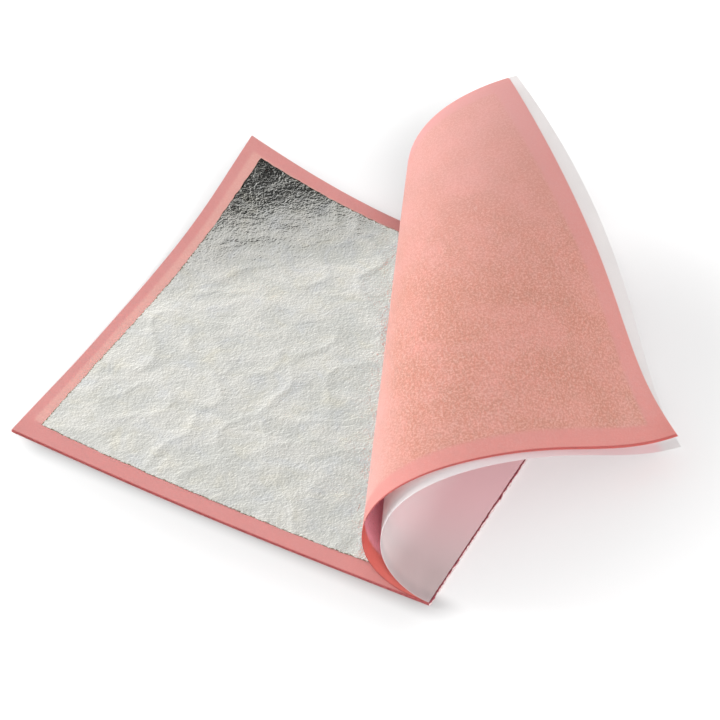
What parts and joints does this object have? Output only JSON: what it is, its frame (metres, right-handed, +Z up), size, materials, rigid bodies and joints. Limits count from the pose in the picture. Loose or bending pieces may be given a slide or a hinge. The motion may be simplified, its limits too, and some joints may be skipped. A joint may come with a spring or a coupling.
{
  "type": "silver leaf booklet",
  "caption": "Open booklet of loose silver leaf: pink tissue pages bound along one edge between thin white covers, one leaf lying bare, the first pages curled over.",
  "frame": {"origin": "on the table, under the middle of the open booklet's bounding box", "axes": "+Z up from the table, +Y along the bound edge to the back, the lying block towards -X"},
  "size_m": [0.1952, 0.1916, 0.0505],
  "materials": {
    "pink_tissue": "thin unglazed tissue, fibrous",
    "silver_leaf": "beaten metal leaf, crinkled",
    "white_paper": "thin uncoated paper",
    "spine_adhesive": "brushed-on padding adhesive"
  },
  "bodies": {
    "block": {"back_cover": "white_paper", "spine_binding": "spine_adhesive", "tissue_26": "pink_tissue", "silver_leaf_25": "silver_leaf"},
    "front_cover": {"front_cover": "white_paper"},
    "page_01": {"tissue_01": "pink_tissue"},
    "page_02": {"tissue_02": "pink_tissue", "silver_leaf_01": "silver_leaf"},
    "page_03": {"tissue_03": "pink_tissue", "silver_leaf_02": "silver_leaf"},
    "page_04": {"tissue_04": "pink_tissue", "silver_leaf_03": "silver_leaf"},
    "page_05": {"tissue_05": "pink_tissue", "silver_leaf_04": "silver_leaf"},
    "page_06": {"tissue_06": "pink_tissue", "silver_leaf_05": "silver_leaf"},
    "page_07": {"tissue_07": "pink_tissue", "silver_leaf_06": "silver_leaf"},
    "page_08": {"tissue_08": "pink_tissue", "silver_leaf_07": "silver_leaf"},
    "page_09": {"tissue_09": "pink_tissue", "silver_leaf_08": "silver_leaf"},
    "page_10": {"tissue_10": "pink_tissue", "silver_leaf_09": "silver_leaf"},
    "page_11": {"tissue_11": "pink_tissue", "silver_leaf_10": "silver_leaf"},
    "page_12": {"tissue_12": "pink_tissue", "silver_leaf_11": "silver_leaf"},
    "page_13": {"tissue_13": "pink_tissue", "silver_leaf_12": "silver_leaf"},
    "page_14": {"tissue_14": "pink_tissue", "silver_leaf_13": "silver_leaf"},
    "page_15": {"tissue_15": "pink_tissue", "silver_leaf_14": "silver_leaf"},
    "page_16": {"tissue_16": "pink_tissue", "silver_leaf_15": "silver_leaf"},
    "page_17": {"tissue_17": "pink_tissue", "silver_leaf_16": "silver_leaf"},
    "page_18": {"tissue_18": "pink_tissue", "silver_leaf_17": "silver_leaf"},
    "page_19": {"tissue_19": "pink_tissue", "silver_leaf_18": "silver_leaf"},
    "page_20": {"tissue_20": "pink_tissue", "silver_leaf_19": "silver_leaf"},
    "page_21": {"tissue_21": "pink_tissue", "silver_leaf_20": "silver_leaf"},
    "page_22": {"tissue_22": "pink_tissue", "silver_leaf_21": "silver_leaf"},
    "page_23": {"tissue_23": "pink_tissue", "silver_leaf_22": "silver_leaf"},
    "page_24": {"tissue_24": "pink_tissue", "silver_leaf_23": "silver_leaf"},
    "page_25": {"tissue_25": "pink_tissue", "silver_leaf_24": "silver_leaf"}
  },
  "joints": [
    {"name": "front_cover_turn", "type": "hinge", "parent": "block", "child": "front_cover", "pos_m": [0.05435, -0.01977, 0.00105], "axis": [0, 1, 0], "range_deg": [0, 2.4]},
    {"name": "page_01_turn", "type": "hinge", "parent": "block", "child": "page_01", "pos_m": [0.05435, -0.01977, 0.00105], "axis": [0, 1, 0], "range_deg": [0, 2.4]},
    {"name": "page_02_turn", "type": "hinge", "parent": "block", "child": "page_02", "pos_m": [0.05435, -0.01977, 0.00105], "axis": [0, 1, 0], "range_deg": [0, 2.4]},
    {"name": "page_03_turn", "type": "hinge", "parent": "block", "child": "page_03", "pos_m": [0.05435, -0.01977, 0.00105], "axis": [0, 1, 0], "range_deg": [0, 2.4]},
    {"name": "page_04_turn", "type": "hinge", "parent": "block", "child": "page_04", "pos_m": [0.05435, -0.01977, 0.00101], "axis": [0, 1, 0], "range_deg": [0, 2.3]},
    {"name": "page_05_turn", "type": "hinge", "parent": "block", "child": "page_05", "pos_m": [0.05435, -0.01977, 0.00097], "axis": [0, 1, 0], "range_deg": [0, 2.19]},
    {"name": "page_06_turn", "type": "hinge", "parent": "block", "child": "page_06", "pos_m": [0.05435, -0.01977, 0.00092], "axis": [0, 1, 0], "range_deg": [0, 2.09]},
    {"name": "page_07_turn", "type": "hinge", "parent": "block", "child": "page_07", "pos_m": [0.05435, -0.01977, 0.00088], "axis": [0, 1, 0], "range_deg": [0, 1.98]},
    {"name": "page_08_turn", "type": "hinge", "parent": "block", "child": "page_08", "pos_m": [0.05435, -0.01977, 0.00084], "axis": [0, 1, 0], "range_deg": [0, 1.88]},
    {"name": "page_09_turn", "type": "hinge", "parent": "block", "child": "page_09", "pos_m": [0.05435, -0.01977, 0.0008], "axis": [0, 1, 0], "range_deg": [0, 1.77]},
    {"name": "page_10_turn", "type": "hinge", "parent": "block", "child": "page_10", "pos_m": [0.05435, -0.01977, 0.00076], "axis": [0, 1, 0], "range_deg": [0, 1.67]},
    {"name": "page_11_turn", "type": "hinge", "parent": "block", "child": "page_11", "pos_m": [0.05435, -0.01977, 0.00072], "axis": [0, 1, 0], "range_deg": [0, 1.57]},
    {"name": "page_12_turn", "type": "hinge", "parent": "block", "child": "page_12", "pos_m": [0.05435, -0.01977, 0.00068], "axis": [0, 1, 0], "range_deg": [0, 1.46]},
    {"name": "page_13_turn", "type": "hinge", "parent": "block", "child": "page_13", "pos_m": [0.05435, -0.01977, 0.00064], "axis": [0, 1, 0], "range_deg": [0, 1.36]},
    {"name": "page_14_turn", "type": "hinge", "parent": "block", "child": "page_14", "pos_m": [0.05435, -0.01977, 0.0006], "axis": [0, 1, 0], "range_deg": [0, 1.25]},
    {"name": "page_15_turn", "type": "hinge", "parent": "block", "child": "page_15", "pos_m": [0.05435, -0.01977, 0.00056], "axis": [0, 1, 0], "range_deg": [0, 1.15]},
    {"name": "page_16_turn", "type": "hinge", "parent": "block", "child": "page_16", "pos_m": [0.05435, -0.01977, 0.00051], "axis": [0, 1, 0], "range_deg": [0, 1.04]},
    {"name": "page_17_turn", "type": "hinge", "parent": "block", "child": "page_17", "pos_m": [0.05435, -0.01977, 0.00047], "axis": [0, 1, 0], "range_deg": [0, 0.9396]},
    {"name": "page_18_turn", "type": "hinge", "parent": "block", "child": "page_18", "pos_m": [0.05435, -0.01977, 0.00043], "axis": [0, 1, 0], "range_deg": [0, 0.8352]},
    {"name": "page_19_turn", "type": "hinge", "parent": "block", "child": "page_19", "pos_m": [0.05435, -0.01977, 0.00039], "axis": [0, 1, 0], "range_deg": [0, 0.7308]},
    {"name": "page_20_turn", "type": "hinge", "parent": "block", "child": "page_20", "pos_m": [0.05435, -0.01977, 0.00035], "axis": [0, 1, 0], "range_deg": [0, 0.6267]},
    {"name": "page_21_turn", "type": "hinge", "parent": "block", "child": "page_21", "pos_m": [0.05435, -0.01977, 0.00031], "axis": [0, 1, 0], "range_deg": [0, 0.5223]},
    {"name": "page_22_turn", "type": "hinge", "parent": "block", "child": "page_22", "pos_m": [0.05435, -0.01977, 0.00027], "axis": [0, 1, 0], "range_deg": [0, 0.4179]},
    {"name": "page_23_turn", "type": "hinge", "parent": "block", "child": "page_23", "pos_m": [0.05435, -0.01977, 0.00023], "axis": [0, 1, 0], "range_deg": [0, 0.3135]},
    {"name": "page_24_turn", "type": "hinge", "parent": "block", "child": "page_24", "pos_m": [0.05435, -0.01977, 0.00019], "axis": [0, 1, 0], "range_deg": [0, 0.2093]},
    {"name": "page_25_turn", "type": "hinge", "parent": "block", "child": "page_25", "pos_m": [0.05435, -0.01977, 0.00015], "axis": [0, 1, 0], "range_deg": [0, 0.1049]}
  ],
  "couplings": [
    {"joint": "page_01_turn", "follows": "front_cover_turn", "ratio": 1},
    {"joint": "page_02_turn", "follows": "front_cover_turn", "ratio": 1},
    {"joint": "page_03_turn", "follows": "front_cover_turn", "ratio": 1},
    {"joint": "page_04_turn", "follows": "front_cover_turn", "ratio": 0.9565},
    {"joint": "page_05_turn", "follows": "front_cover_turn", "ratio": 0.913},
    {"joint": "page_06_turn", "follows": "front_cover_turn", "ratio": 0.8696},
    {"joint": "page_07_turn", "follows": "front_cover_turn", "ratio": 0.8261},
    {"joint": "page_08_turn", "follows": "front_cover_turn", "ratio": 0.7826},
    {"joint": "page_09_turn", "follows": "front_cover_turn", "ratio": 0.7391},
    {"joint": "page_10_turn", "follows": "front_cover_turn", "ratio": 0.6957},
    {"joint": "page_11_turn", "follows": "front_cover_turn", "ratio": 0.6522},
    {"joint": "page_12_turn", "follows": "front_cover_turn", "ratio": 0.6087},
    {"joint": "page_13_turn", "follows": "front_cover_turn", "ratio": 0.5652},
    {"joint": "page_14_turn", "follows": "front_cover_turn", "ratio": 0.5217},
    {"joint": "page_15_turn", "follows": "front_cover_turn", "ratio": 0.4783},
    {"joint": "page_16_turn", "follows": "front_cover_turn", "ratio": 0.4348},
    {"joint": "page_17_turn", "follows": "front_cover_turn", "ratio": 0.3913},
    {"joint": "page_18_turn", "follows": "front_cover_turn", "ratio": 0.3478},
    {"joint": "page_19_turn", "follows": "front_cover_turn", "ratio": 0.3043},
    {"joint": "page_20_turn", "follows": "front_cover_turn", "ratio": 0.2609},
    {"joint": "page_21_turn", "follows": "front_cover_turn", "ratio": 0.2174},
    {"joint": "page_22_turn", "follows": "front_cover_turn", "ratio": 0.1739},
    {"joint": "page_23_turn", "follows": "front_cover_turn", "ratio": 0.1304},
    {"joint": "page_24_turn", "follows": "front_cover_turn", "ratio": 0.087},
    {"joint": "page_25_turn", "follows": "front_cover_turn", "ratio": 0.0435}
  ]
}
